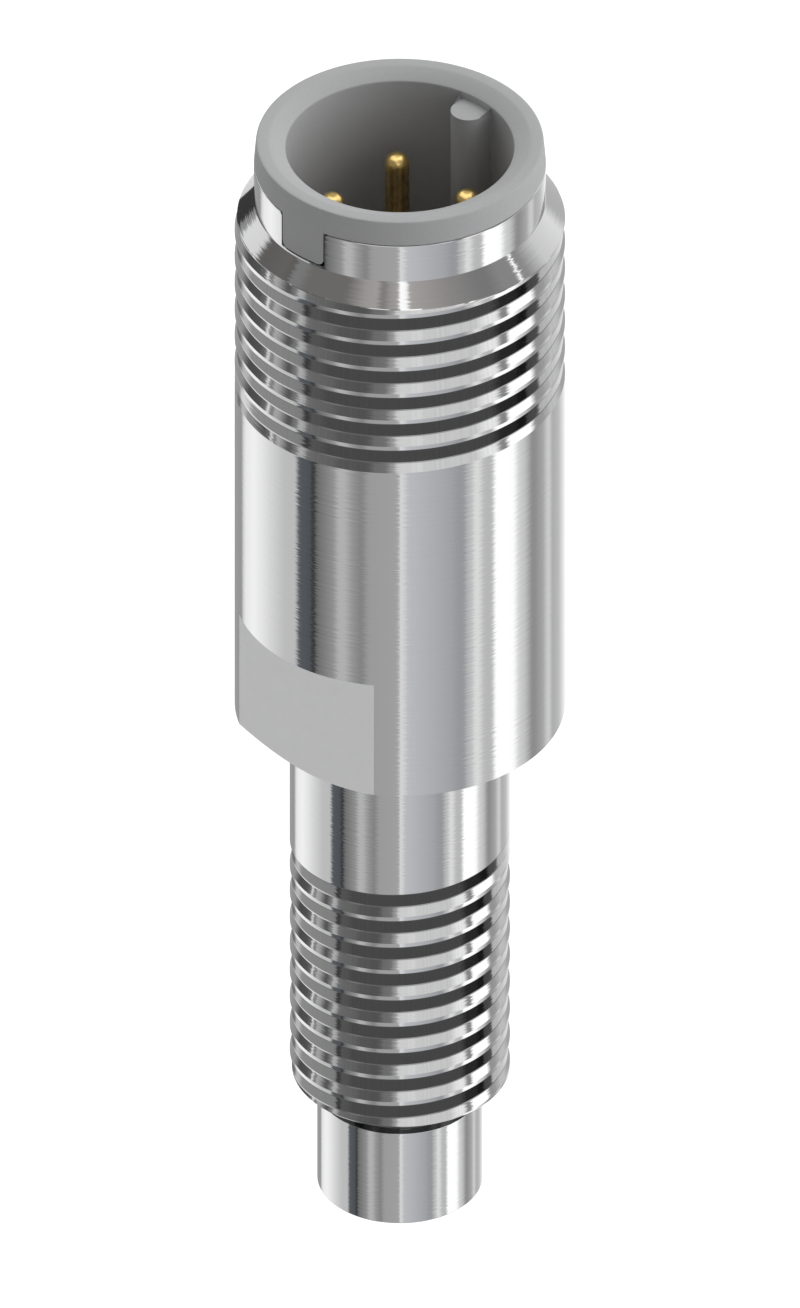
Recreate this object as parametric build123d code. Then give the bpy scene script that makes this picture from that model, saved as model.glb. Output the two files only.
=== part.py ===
from build123d import *
import math
import os

# Screw-in temperature sensor, in millimetres. The axis is Z, with the plug at the top, and
# z = 0 is the plane where the conical seat meets the neck. The coding rib is on +Y. The
# carrier's tab and one of the two wrench flats are on -Y.

# Plug end of the housing
collar_radius = 5.3
collar_top = 25.0
collar_bottom = 23.45
body_radius = 6.0
chamfer_bottom = 22.6

# Thread ridges, as rings of one form for both threads
thread_pitch = 1.168
crest_flat = 0.177
flank_angle = 30.0
groove_depth = 0.7
plug_thread_top = 22.3
plug_thread_turns = 6
process_thread_top = -4.61
process_thread_turns = 9

# Body, seat, shank and tip
seat_height = 1.155
flat_distance = 10.0
flat_top = 6.0
neck_radius = 4.0
shank_bottom = -15.0
relief_radius = 2.65
relief_length = 0.9
tip_radius = 3.0
tip_length = 4.0
tip_chamfer = 0.12

# Bores of the housing, from the plug end down
plug_bore_radius = 4.75
plug_bore_bottom = 12.4
chamber_radius = 3.5
chamber_bottom = 3.2
shank_bore_radius = 2.0
tip_floor = 0.7
drill_point_angle = 118.0

# Contact carrier: its seat in the collar, mouth, socket and stem
tab_width = 2.0
tab_gap = 0.05
tab_corner_radius = 0.25
collar_lip = 0.09
carrier_clearance = 0.02
rim_height = 1.0
rim_draft = 0.08
mouth_bevel_width = 0.61
mouth_bevel_depth = 0.27
socket_radius = 4.15
socket_depth = 8.6
floor_thickness = 4.0
stem_chamfer = 0.3
rib_radius = 0.65
rib_offset = 3.68
rib_drop = 0.5

# Seal in the groove of the carrier's stem
seal_section = 1.0
seal_rise = 1.5
seal_groove_width = 1.3

# Contact pins
contact_count = 4
contact_circle_radius = 2.45
pin_radius = 0.45
pin_drop = 2.35
pin_nose_radius = 0.42
pin_collar_radius = 0.75
pin_collar_height = 1.6
cup_wall = 0.3
cup_length = 2.0
cup_depth = 1.6
cup_window_height = 1.1

# Leads from the solder cups to the crimps
core_radius = 0.3
insulation_wall = 0.2
strip_length = 0.5
bend_top = 8.6
bend_bottom = 3.7
bend_share = 0.45
lead_x = 0.55
lead_y = 0.7
insulation_bottom = -6.0

# Crimps, shrink sleeves and element leads
crimp_top = -7.0
crimp_length = 2.6
crimp_wall = 0.15
core_grip = 1.8
element_lead_grip = 1.6
element_lead_radius = 0.1
shrink_wall = 0.15
shrink_overhang = 0.4

# Spacer and sensing element in the tip
spacer_top = -10.6
spacer_length = 3.0
spacer_clearance = 0.05
spacer_hole_clearance = 0.05
chip_top = -15.0
chip_length = 2.3
chip_width = 2.0
chip_thickness = 0.65
bond_height = 0.04
bead_length = 0.9
bead_width = 1.8
bead_thickness = 0.45
bead_corner_radius = 0.1

# Sizes that follow from the ones above
rim_top = collar_top + rim_height
carrier_radius = plug_bore_radius - carrier_clearance
socket_floor = rim_top - socket_depth
carrier_bottom = socket_floor - floor_thickness
seal_height = carrier_bottom + seal_rise
cup_radius = core_radius + cup_wall
cup_bottom = carrier_bottom - cup_length
core_top = cup_bottom + cup_depth
insulation_radius = core_radius + insulation_wall
chip_face = -element_lead_radius - bond_height
crimp_radius = core_radius + crimp_wall
crimp_bottom = crimp_top - crimp_length
spacer_bottom = spacer_top - spacer_length
relief_bottom = shank_bottom - relief_length
tip_bottom = relief_bottom - tip_length
drill_slope = 1 / math.tan(math.radians(drill_point_angle / 2))
bore_apex = tip_bottom + tip_floor
bore_bottom = bore_apex + shank_bore_radius * drill_slope
chamber_cone_bottom = chamber_bottom - (chamber_radius - shank_bore_radius) * drill_slope


def turned(points):
    """Solid of revolution about Z. The points are (radius, height), in order round the section."""
    section = Plane.XZ * make_face(Polyline(*points, close=True))
    return revolve(section, Axis.Z)


def bar(radius, bottom, top, x=0.0, y=0.0):
    """Round bar along Z between two heights."""
    low_end = (Align.CENTER, Align.CENTER, Align.MIN)
    return Pos(x, y, bottom) * Cylinder(radius, top - bottom, align=low_end)


def thread_outline(radius, top, turns):
    """Outline points of a thread's grooves, from the top down."""
    flank_height = groove_depth * math.tan(math.radians(flank_angle))
    groove_height = thread_pitch - crest_flat
    points = []
    for turn in range(turns):
        start = top - turn * thread_pitch
        end = start - groove_height
        points.append((radius, start))
        points.append((radius - groove_depth, start - flank_height))
        points.append((radius - groove_depth, end + flank_height))
        points.append((radius, end))
    return points


def bore_outline():
    """Outline points of the housing's stepped bore, from the tip up."""
    return [
        (0, bore_apex),
        (shank_bore_radius, bore_bottom),
        (shank_bore_radius, chamber_cone_bottom),
        (chamber_radius, chamber_bottom),
        (chamber_radius, plug_bore_bottom),
        (plug_bore_radius, plug_bore_bottom),
        (plug_bore_radius, collar_top),
    ]


def key_block(gap):
    """Block on -Y with two round low corners: the tab's outline, wider by a gap all round."""
    low = collar_bottom + collar_lip + tab_gap - gap
    height = rim_top - low
    outline = Pos(0, low + height / 2) * Rectangle(tab_width + 2 * gap, height)
    low_corners = outline.vertices().group_by(Axis.Y)[0]
    outline = fillet(low_corners, tab_corner_radius + gap)
    return extrude(Plane.XZ * outline, 2 * body_radius)


def housing():
    outline = [
        (collar_radius, collar_top),
        (collar_radius, collar_bottom),
        (body_radius, chamfer_bottom),
    ]
    outline += thread_outline(body_radius, plug_thread_top, plug_thread_turns)
    outline += [(body_radius, seat_height), (neck_radius, 0)]
    outline += thread_outline(neck_radius, process_thread_top, process_thread_turns)
    outline += [
        (neck_radius, shank_bottom),
        (relief_radius, shank_bottom),
        (relief_radius, relief_bottom),
        (tip_radius, relief_bottom),
        (tip_radius, tip_bottom + tip_chamfer),
        (tip_radius - tip_chamfer, tip_bottom),
        (0, tip_bottom),
    ]
    body = turned(outline + bore_outline())
    flat_block = Box(4 * body_radius, body_radius, flat_top, align=(Align.CENTER, Align.MIN, Align.MIN))
    for turn in (0, 180):
        body -= Rot(0, 0, turn) * Pos(0, flat_distance / 2, 0) * flat_block
    return body - key_block(tab_gap)


def contact_place(index):
    """Centre of one contact, counted from the first quadrant."""
    angle = math.radians(360 * (index + 0.5) / contact_count)
    return contact_circle_radius * math.cos(angle), contact_circle_radius * math.sin(angle)


def contact_carrier():
    seal_groove_radius = plug_bore_radius - seal_section
    seal_groove_bottom = seal_height - seal_groove_width / 2
    seal_groove_top = seal_height + seal_groove_width / 2
    body = turned([
        (0, carrier_bottom),
        (carrier_radius - stem_chamfer, carrier_bottom),
        (carrier_radius, carrier_bottom + stem_chamfer),
        (carrier_radius, seal_groove_bottom),
        (seal_groove_radius, seal_groove_bottom),
        (seal_groove_radius, seal_groove_top),
        (carrier_radius, seal_groove_top),
        (carrier_radius, collar_top),
        (collar_radius, collar_top),
        (collar_radius - rim_draft, rim_top),
        (socket_radius + mouth_bevel_width, rim_top),
        (socket_radius, rim_top - mouth_bevel_depth),
        (socket_radius, socket_floor),
        (0, socket_floor),
    ])
    wall_middle = (socket_radius + carrier_radius) / 2
    tab_ring = bar(collar_radius, collar_bottom, collar_top) - bar(wall_middle, collar_bottom, collar_top)
    body += tab_ring & key_block(0)
    body += bar(rib_radius, socket_floor, rim_top - rib_drop, 0, rib_offset)
    for index in range(contact_count):
        x, y = contact_place(index)
        body -= bar(pin_radius, carrier_bottom, socket_floor, x, y)
        body -= bar(pin_collar_radius, carrier_bottom, carrier_bottom + pin_collar_height, x, y)
    return body


def carrier_seal():
    return Pos(0, 0, seal_height) * Torus(plug_bore_radius - seal_section / 2, seal_section / 2)


def contact_pin(index):
    collar_height = carrier_bottom + pin_collar_height
    pin_top = rim_top - pin_drop
    pin = turned([
        (0, pin_top),
        (pin_radius, pin_top),
        (pin_radius, collar_height),
        (pin_collar_radius, collar_height),
        (pin_collar_radius, carrier_bottom),
        (cup_radius, carrier_bottom),
        (cup_radius, cup_bottom),
        (core_radius, cup_bottom),
        (core_radius, core_top),
        (0, core_top),
    ])
    pin = fillet(pin.edges().group_by(Axis.Z)[-1], pin_nose_radius)
    low_side = (Align.MIN, Align.CENTER, Align.MIN)
    pin -= Pos(0, 0, cup_bottom) * Box(2 * cup_radius, 2 * cup_radius, cup_window_height, align=low_side)
    x, y = contact_place(index)
    return Pos(x, y, 0) * Rot(0, 0, math.degrees(math.atan2(y, x))) * pin


def lead_path(index, top, bottom):
    """Route of one lead: straight down, slanting in towards the shank's bore, straight down."""
    x, y = contact_place(index)
    end_x = math.copysign(lead_x, x)
    end_y = math.copysign(lead_y, y)
    slant = math.dist((x, y, bend_top), (end_x, end_y, bend_bottom))
    half_turn = math.acos((bend_top - bend_bottom) / slant) / 2
    upper_run = cup_bottom - strip_length - bend_top
    lower_run = bend_bottom - insulation_bottom
    reach = bend_share / math.tan(half_turn)
    radii = [reach * min(upper_run, slant), reach * min(lower_run, slant)]
    corners = [(x, y, top), (x, y, bend_top), (end_x, end_y, bend_bottom), (end_x, end_y, bottom)]
    return FilletPolyline(*corners, radius=radii)


def along_lead(section, index, top, bottom):
    """Sweeps a section along one lead from the top down."""
    x, y = contact_place(index)
    return sweep(Pos(x, y, top) * section, lead_path(index, top, bottom))


def lead_core(index):
    return along_lead(Circle(core_radius), index, core_top, crimp_top - core_grip)


def lead_insulation(index):
    ring = Circle(insulation_radius) - Circle(core_radius)
    return along_lead(ring, index, cup_bottom - strip_length, insulation_bottom)


def flat_sleeve(end_radius, bottom, top, side):
    """Flattened bar round the two conductors that meet on one side of the axis."""
    outline = SlotCenterToCenter(2 * lead_x, 2 * end_radius)
    return extrude(Pos(0, side * lead_y, bottom) * outline, top - bottom)


def element_lead(side):
    top = crimp_bottom + element_lead_grip
    return bar(element_lead_radius, chip_top - bead_length, top, 0, side * lead_y)


def crimp_sleeve(side, held):
    sleeve = flat_sleeve(crimp_radius, crimp_bottom, crimp_top, side)
    return sleeve - held


def shrink_sleeve(side):
    bottom = crimp_bottom - shrink_overhang
    top = crimp_top + shrink_overhang
    outer = flat_sleeve(crimp_radius + shrink_wall, bottom, top, side)
    return outer - flat_sleeve(crimp_radius, bottom, top, side)


def lead_spacer():
    spacer = bar(shank_bore_radius - spacer_clearance, spacer_bottom, spacer_top)
    hole_radius = element_lead_radius + spacer_hole_clearance
    for side in (1, -1):
        spacer -= bar(hole_radius, spacer_bottom, spacer_top, 0, side * lead_y)
    return spacer


def element_chip():
    front_top = (Align.MAX, Align.CENTER, Align.MAX)
    return Pos(chip_face, 0, chip_top) * Box(chip_thickness, chip_width, chip_length, align=front_top)


def element_bead(leads):
    back_top = (Align.MIN, Align.CENTER, Align.MAX)
    bead = Box(bead_thickness, bead_width, bead_length, align=back_top)
    bead = fillet(bead.faces().sort_by(Axis.X)[-1].edges(), bead_corner_radius)
    return Pos(chip_face, 0, chip_top) * bead - leads


def thermal_paste(buried):
    fill = turned(bore_outline()[:2] + [(shank_bore_radius, spacer_bottom), (0, spacer_bottom)])
    return fill - buried


def potting(buried):
    fill = turned(
        [(0, spacer_top), (shank_bore_radius, spacer_top)]
        + bore_outline()[2:-1]
        + [(plug_bore_radius, carrier_bottom), (0, carrier_bottom)]
    )
    return fill - buried


contacts = range(contact_count)
sides = {"a": 1, "b": -1}
nodes = {"housing": housing(), "contact_carrier": contact_carrier(), "carrier_seal": carrier_seal()}
pins = {f"contact_pin_{index + 1}": contact_pin(index) for index in contacts}
cores = {f"lead_core_{index + 1}": lead_core(index) for index in contacts}
insulations = {f"lead_insulation_{index + 1}": lead_insulation(index) for index in contacts}
element_leads = {f"element_lead_{name}": element_lead(side) for name, side in sides.items()}
held = [*cores.values(), *element_leads.values()]
crimps = {f"crimp_sleeve_{name}": crimp_sleeve(side, held) for name, side in sides.items()}
shrinks = {f"shrink_sleeve_{name}": shrink_sleeve(side) for name, side in sides.items()}
chip = element_chip()
bead = element_bead(list(element_leads.values()))
paste = thermal_paste([chip, bead, *element_leads.values()])
resin = potting([*pins.values(), *insulations.values(), *crimps.values(), *shrinks.values(), *held])

for group in (pins, cores, insulations, element_leads, crimps, shrinks):
    nodes.update(group)
nodes["lead_spacer"] = lead_spacer()
nodes["element_chip"] = chip
nodes["element_bead"] = bead
nodes["thermal_paste"] = paste
nodes["potting"] = resin

os.makedirs("parts", exist_ok=True)
for name, solid in nodes.items():
    export_step(solid, f"parts/{name}.step")
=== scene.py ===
# %% [markdown]
# A screw-in temperature sensor. It is a slim turned steel housing, 46 mm long, that is screwed
# into a machine or a pipe. At its top a grey moulded insert with gold pins takes the plug of a
# cable, and at its foot a short blind tip holds the sensing element.
#
# The CAD model gives every piece its real size and place. This notebook dresses it. The pieces
# that are seen could keep their CAD meshes, but polished metal shows every facet, so they are
# made again as fine meshes. The pieces inside keep theirs, and every piece gets the finish of
# its material.

# %% Load the frame
import math
import bmesh
import bpy
import numpy as np
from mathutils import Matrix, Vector


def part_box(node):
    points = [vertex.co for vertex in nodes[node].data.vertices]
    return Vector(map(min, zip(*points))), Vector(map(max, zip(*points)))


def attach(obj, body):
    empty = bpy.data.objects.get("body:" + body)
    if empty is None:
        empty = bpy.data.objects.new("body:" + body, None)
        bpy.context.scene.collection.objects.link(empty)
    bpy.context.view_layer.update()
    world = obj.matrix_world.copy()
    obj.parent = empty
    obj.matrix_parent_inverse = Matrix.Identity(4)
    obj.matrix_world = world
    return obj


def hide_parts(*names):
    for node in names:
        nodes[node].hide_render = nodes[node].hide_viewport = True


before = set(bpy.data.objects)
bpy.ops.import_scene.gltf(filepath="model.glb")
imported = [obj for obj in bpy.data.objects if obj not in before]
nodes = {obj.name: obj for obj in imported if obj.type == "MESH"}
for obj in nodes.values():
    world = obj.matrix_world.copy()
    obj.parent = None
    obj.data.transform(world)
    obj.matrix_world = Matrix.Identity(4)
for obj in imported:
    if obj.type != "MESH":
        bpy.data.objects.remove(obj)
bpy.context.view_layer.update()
print("pieces in the frame:", len(nodes))

# %% [markdown]
# Sizes. A turned part is known by its diameters and by the heights of its steps. All of them
# could be typed in, but a size that is read from the CAD boxes stays right when the part
# changes. So the outer radii and the ends are read here, and only the steps between them are
# given, where each is first needed. Heights are millimetres from the plane where the conical
# seat meets the neck.

# %% Sizes
MM = 0.001


def node_box(name):
    """Lowest and highest corner of a CAD node: the frame's metres over a thousandth."""
    low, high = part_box(name)
    return np.array(low) / MM, np.array(high) / MM


housing_low, housing_high = node_box("housing")
carrier_low, carrier_high = node_box("contact_carrier")

body_radius = housing_high[0]
tip_bottom = housing_low[2]
collar_top = housing_high[2]
collar_radius = carrier_high[0]
rim_top = carrier_high[2]
carrier_bottom = carrier_low[2]
print("body radius", round(body_radius, 3), "from", round(tip_bottom, 3), "to", round(rim_top, 3))

# %% [markdown]
# The camera. A sensor is best shown from a little above, so that the plug's mouth and a wrench
# flat are both seen. A long lens from far away would do, but in a parallel view a millimetre
# measures the same at the top and at the foot, so the sensor can be measured in the picture.
# The camera stands 35 degrees above the horizon, to the right of the slot in the collar.

# %% Ways of the view
camera_azimuth = math.radians(42.6)
camera_elevation = math.radians(34.96)
right_way = np.array([math.cos(camera_azimuth), math.sin(camera_azimuth), 0.0])
front_way = np.array([math.sin(camera_azimuth), -math.cos(camera_azimuth), 0.0])
up_way = np.array([0.0, 0.0, 1.0])
camera_way = front_way * math.cos(camera_elevation) + up_way * math.sin(camera_elevation)
print("way to the camera:", camera_way.round(3))

# %% Camera
frame_height = 47.477
view_centre_height = 3.255
view_shift = 0.004
camera_distance = 300.0
view_centre = up_way * view_centre_height + right_way * view_shift
camera_data = bpy.data.cameras.new("camera")
camera_data.type = "ORTHO"
camera_data.ortho_scale = frame_height * MM
camera_data.clip_start = 0.01
camera_data.clip_end = 10
camera = bpy.data.objects.new("camera", camera_data)
camera.location = (view_centre + camera_way * camera_distance) * MM
camera.rotation_euler = (math.pi / 2 - camera_elevation, 0, camera_azimuth)
bpy.context.scene.collection.objects.link(camera)
bpy.context.scene.camera = camera
print("the picture is", frame_height, "mm high")

# %% [markdown]
# Turned surfaces. A lathe makes the surface that an outline sweeps as it goes round the axis. A
# Screw modifier does the same, but all its columns are alike, and here the flats, the slot and
# the threads change from column to column. So every turned surface is a sheet of points with
# two indices: the row follows the outline from the foot to the top, and the column goes round
# the axis. Neighbouring points make the faces. Points that fall on each other, as on the axis
# and along the seam, are merged, which closes the surface. Smooth shading then hides the faces,
# and an edge stays crisp where they turn by more than an angle that suits the piece.

# %% Mesh from points
def new_piece(name, points, faces):
    """Object from points in millimetres and faces, with doubles merged and faces turned outwards."""
    mesh = bpy.data.meshes.new(name)
    mesh.from_pydata((points * MM).tolist(), [], faces.tolist())
    work = bmesh.new()
    work.from_mesh(mesh)
    bmesh.ops.remove_doubles(work, verts=work.verts, dist=1e-7)
    bmesh.ops.recalc_face_normals(work, faces=work.faces)
    open_edges = sum(not edge.is_manifold for edge in work.edges)
    work.to_mesh(mesh)
    work.free()
    piece = bpy.data.objects.new(name, mesh)
    bpy.context.scene.collection.objects.link(piece)
    print(name, "faces", len(mesh.polygons), "open edges", open_edges)
    return piece


# %% Turned surface
def grid_faces(rows, columns):
    """Quads between neighbouring points of a sheet of rows by columns points."""
    index = np.arange(rows * columns).reshape(rows, columns)
    corners = [index[:-1, :-1], index[:-1, 1:], index[1:, 1:], index[1:, :-1]]
    return np.stack([corner.ravel() for corner in corners], axis=1)


def turned_piece(name, radii, heights, angles, centre=(0, 0)):
    """Closed surface from the radius and height at each row and column.

    A point's place is the radius times the cosine and sine of its angle, and the height.
    """
    x = radii * np.cos(angles) + centre[0]
    y = radii * np.sin(angles) + centre[1]
    points = np.stack([x, y, heights], axis=-1).reshape(-1, 3)
    return new_piece(name, points, grid_faces(*radii.shape))


# %% Shading
def shade(piece, sharp_degrees):
    """Smooth shading with sharp edges where faces turn by more than the angle."""
    piece.data.shade_smooth()
    piece.data.set_sharp_from_angle(angle=math.radians(sharp_degrees))


# %% [markdown]
# The columns of the housing. Two wrench flats are milled on the body, and a slot is sawn into
# the collar. A Boolean modifier could cut both out of a round mesh, but it leaves long thin
# faces, which spoil a mirror. An edge is only crisp where a column runs along it, so each
# stretch between the upright edges of the flats is divided evenly by itself, and the slot has
# finer columns for its rounded corners. The seam is on the far side from the camera.

# %% Even columns
flat_distance = 10.0
column_step = math.radians(0.8)
camera_angle = camera_azimuth - math.pi / 2
seam_angle = camera_angle - math.pi
flat_edge = math.acos(flat_distance / 2 / body_radius)


def even_columns():
    """Angles from the seam once round, evenly divided between the edges of the flats.

    An edge lies beside its flat's middle by the angle whose cosine is the distance of the flat
    from the axis over the body's radius.
    """
    edges = [-math.pi / 2 - flat_edge, -math.pi / 2 + flat_edge]
    edges += [math.pi / 2 - flat_edge, math.pi / 2 + flat_edge]
    stops = [seam_angle] + edges + [seam_angle + 2 * math.pi]
    runs = [np.array([seam_angle])]
    for start, end in zip(stops, stops[1:]):
        runs.append(np.linspace(start, end, round((end - start) / column_step) + 1)[1:])
    return np.concatenate(runs)


print("a flat is", round(math.degrees(2 * flat_edge), 1), "degrees wide")

# %% Sides of the slot
slot_half_width = 1.05
slot_floor = 23.54
slot_corner = 0.17
slot_mouth_round = 0.2
slot_middle = -math.pi / 2


def slot_side():
    """Distance from the slot's middle line, and height of the collar's top there.

    Inside, the slot's floor rises to the side in a quarter circle. Outside, the collar's top
    falls towards the side in a smaller one. Both end on the slot's side, one above the other.
    """
    turn = np.linspace(0, math.pi / 2, 13)
    floor_run = np.linspace(0, slot_half_width - slot_corner, 10)[:-1]
    inside = slot_half_width - slot_corner + slot_corner * np.sin(turn)
    rising = slot_floor + slot_corner * (1 - np.cos(turn))
    outside = slot_half_width + slot_mouth_round * (1 - np.sin(turn))
    falling = collar_top - slot_mouth_round * (1 - np.cos(turn))
    distance = np.concatenate([floor_run, inside, outside[::-1]])
    height = np.concatenate([np.full(len(floor_run), slot_floor), rising, falling[::-1]])
    return distance, height


# %% All columns
def housing_columns():
    """Angle of each column and height of the collar's top there.

    A point beside the slot's middle line has the angle whose sine is its distance from that
    line over the collar's radius.
    """
    distance, height = slot_side()
    turn = np.arcsin(distance / collar_radius)
    slot_angles = slot_middle + np.concatenate([-turn[::-1], turn[1:]])
    slot_tops = np.concatenate([height[::-1], height[1:]])
    even = even_columns()
    before = even[even < slot_angles[0] - column_step / 2]
    after = even[even > slot_angles[-1] + column_step / 2]
    angle = np.concatenate([before, slot_angles, after])
    top = np.concatenate([
        np.full(len(before), collar_top),
        slot_tops,
        np.full(len(after), collar_top),
    ])
    return angle, top


angles, tops = housing_columns()
print("columns round the housing:", len(angles))

# %% [markdown]
# The threads. The upper one takes the nut of the plug, the lower one holds the sensor in the
# machine. Stacked rings would look much the same and are simpler, but they can't be screwed in.
# A lathe cuts one groove that winds round the axis, so each row of points follows the winding:
# it climbs by one pitch in one turn, and after the full turn it meets the row one pitch above.
#
# Two numbers place any point: how many pitches it lies below the start along the winding, whose
# whole part counts the turns and whose rest is the place across the groove. Where the tool
# enters and leaves the metal the groove runs in and out over part of a turn.

# %% Thread profile
thread_pitch = 1.168
# Millimetres down from the groove's upper edge, and the depth there.
thread_profile = np.array([
    (0.000, 0.000),
    (0.035, 0.0134),
    (0.110, 0.1200),
    (0.572, 0.0745),
    (0.632, 0.0800),
    (1.008, 0.000),
])
row_shares = thread_profile[:, 0] / thread_pitch
groove_depth = thread_profile[:, 1].max()
print("thread pitch", thread_pitch, "and depth", groove_depth)


# %% Thread rows
def smooth_step(x):
    """Eases from 0 to 1 as x goes from 0 to 1: three x squared less two x cubed."""
    x = np.clip(x, 0, 1)
    return x * x * (3 - 2 * x)


def thread_rows(first_groove, outline, run_in, run_out):
    """Radius and height of a thread's rows, from the bottom up, at every column.

    The outline is the plain shape that the thread is cut into, and the thread stays inside it.
    The depth follows the profile across each pitch. run_in and run_out each give the turns
    between which the depth grows from nothing, or fades to nothing. Each column's heights are
    sorted, so that a row follows the winding or an edge of the outline, whichever comes first.
    """
    plain_radii, plain_heights = np.array(outline).T
    bottom, top = plain_heights[0], plain_heights[-1]
    turn = (angles - camera_angle) / (2 * math.pi)
    turns = math.ceil((first_groove - bottom) / thread_pitch)
    whole = np.arange(-3, turns + 2)
    steps = (whole[:, None] + row_shares[None, :]).ravel()
    heights = first_groove - thread_pitch * (steps[:, None] - turn[None, :])
    kept = (heights.min(axis=1) < top) & (heights.max(axis=1) > bottom)
    edges = np.repeat(plain_heights[:, None], len(angles), axis=1)
    heights = np.sort(np.concatenate([np.clip(heights[kept], bottom, top), edges]), axis=0)
    along = (first_groove - heights) / thread_pitch + turn[None, :] + 1e-9
    count = np.floor(along)
    depth = np.interp(along - count, np.append(row_shares, 1), np.append(thread_profile[:, 1], 0))
    wound = count - turn[None, :]
    depth = depth * smooth_step((wound - run_in[0]) / (run_in[1] - run_in[0]))
    depth = depth * smooth_step((run_out[1] - wound) / (run_out[1] - run_out[0]))
    plain = np.interp(heights, plain_heights, plain_radii)
    return np.minimum(plain, plain_radii.max() - depth), heights


# %% [markdown]
# The housing is one turned piece of stainless steel. It could be stacked from cylinders and
# cones, but they would leave walls inside each other. So one outline runs from the middle of
# the tip up the outside, over the collar and down the stepped bore. Its rows come in groups,
# one for each turned feature.
#
# The wrench flats are planes five millimetres from the axis: a column inside a flat has the
# radius of that plane, which is the distance divided by the cosine of the angle from the flat's
# middle. On the conical seat the same columns end where the cone meets the plane.
#
# Once the mesh is made, two calls hide the CAD piece that it stands for and attach the mesh to
# the body that it rides on.

# %% Plain outlines
def same_all_round(outline):
    """Radius and height of an outline that is the same at every column."""
    outline = np.asarray(outline, float)
    radii = np.repeat(outline[:, :1], len(angles), axis=1)
    heights = np.repeat(outline[:, 1:], len(angles), axis=1)
    return radii, heights


def rounded(points, radius, steps=4, hold=0.04):
    """Open outline whose inner corners are arcs of the radius.

    A point on each arc is its centre plus the radius along a spoke. One more point stands a
    little way before and after each arc, so that the walls beside it keep straight shading.
    """
    points = [np.array(point, float) for point in points]
    path = [points[0]]
    for before, corner, after in zip(points, points[1:], points[2:]):
        to_before = (before - corner) / np.linalg.norm(before - corner)
        to_after = (after - corner) / np.linalg.norm(after - corner)
        half = math.acos(np.clip(to_before @ to_after, -1, 1)) / 2
        reach = radius / math.tan(half)
        centre_way = (to_before + to_after) / np.linalg.norm(to_before + to_after)
        centre = corner + centre_way * radius / math.sin(half)
        start = corner + to_before * reach
        end = corner + to_after * reach
        path.append(corner + to_before * (reach + hold))
        for share in np.linspace(0, 1, steps):
            spoke = start * (1 - share) + end * share - centre
            path.append(centre + spoke * radius / np.linalg.norm(spoke))
        path.append(corner + to_after * (reach + hold))
    path.append(points[-1])
    return np.array(path)


# %% Tip and relief
tip_radius = 3.0
tip_chamfer = 0.05
relief_radius = 2.65
relief_bottom = -15.9
neck_radius = 4.0
shank_bottom = -15.0
fine_round = 0.02


def tip_and_relief():
    """Rows of the tip and of the relief, from the tip's middle to the end of the shank."""
    return same_all_round(rounded([
        (0, tip_bottom),
        (tip_radius - tip_chamfer, tip_bottom),
        (tip_radius, tip_bottom + tip_chamfer),
        (tip_radius, relief_bottom),
        (relief_radius, relief_bottom),
        (relief_radius, shank_bottom),
        (neck_radius - groove_depth - 0.02, shank_bottom),
    ], fine_round))


# %% Thread that is screwed into the machine
process_thread_top = -4.61
process_thread_run_in = (-0.28, -0.1)
process_thread_run_out = (8.3, 8.55)
plain_above_process_thread = 0.4
end_chamfer = 0.13


def process_thread():
    """Rows of the thread that is screwed into the machine, from its chamfered end to the neck."""
    outline = [
        (neck_radius - end_chamfer, shank_bottom),
        (neck_radius, shank_bottom + end_chamfer * 0.8),
        (neck_radius, process_thread_top + plain_above_process_thread),
    ]
    radii, heights = thread_rows(
        process_thread_top, outline, process_thread_run_in, process_thread_run_out)
    neck = same_all_round([(neck_radius, -0.03), (neck_radius, 0)])
    return np.concatenate([radii, neck[0]]), np.concatenate([heights, neck[1]])


# %% Seat and flats
seat_height = 1.155
flat_top = 6.0


def seat_and_flats():
    """Rows of the conical seat, the flats and the small ledge over each flat.

    A wall's radius is the flat's distance from the axis over the cosine of the angle from the
    flat's middle, and at most the body's. The cone climbs in proportion to the radius gained.
    """
    from_flat = np.abs(np.sin(angles))
    edge = np.minimum(body_radius, flat_distance / 2 / np.maximum(from_flat, 1e-6))
    share = np.linspace(0, 1, 6)[:, None]
    radii = neck_radius + share * (edge - neck_radius)[None, :]
    heights = (radii - neck_radius) * seat_height / (body_radius - neck_radius)
    level = np.array([0.02, 0.5, 0.98, 1])[:, None]
    wall_heights = heights[-1:] + level * (flat_top - heights[-1:])
    wall_radii = np.repeat(edge[None, :], len(level), axis=0)
    ledge = same_all_round([(body_radius, flat_top), (body_radius, flat_top + 0.1)])
    return (
        np.concatenate([radii, wall_radii, ledge[0]]),
        np.concatenate([heights, wall_heights, ledge[1]]),
    )


# %% Thread for the plug's nut
chamfer_bottom = 22.6
collar_bottom = 23.45
chamfer_shares = (0, 0.04, 0.08, 0.12, 0.16, 0.2, 0.24, 0.28, 0.32, 1)
plug_thread_top = 22.3
plug_thread_turns = 6
plug_thread_run_in = (-4, -3.5)
plug_thread_run_out = (5.1, 5.28)
plain_below_plug_thread = 0.45


def plug_thread():
    """Rows of the thread for the plug's nut, and of the chamfer that it runs out into.

    The chamfer's points lie on a straight line, each at a share of the way to the collar.
    """
    foot = plug_thread_top - plug_thread_turns * thread_pitch - plain_below_plug_thread
    outline = [(body_radius, foot)]
    for share in chamfer_shares:
        outline.append((
            body_radius + share * (collar_radius - body_radius),
            chamfer_bottom + share * (collar_bottom - chamfer_bottom),
        ))
    return thread_rows(plug_thread_top, outline, plug_thread_run_in, plug_thread_run_out)


# %% Collar
plug_bore_radius = 4.75
edge_radius = 0.025


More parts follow.
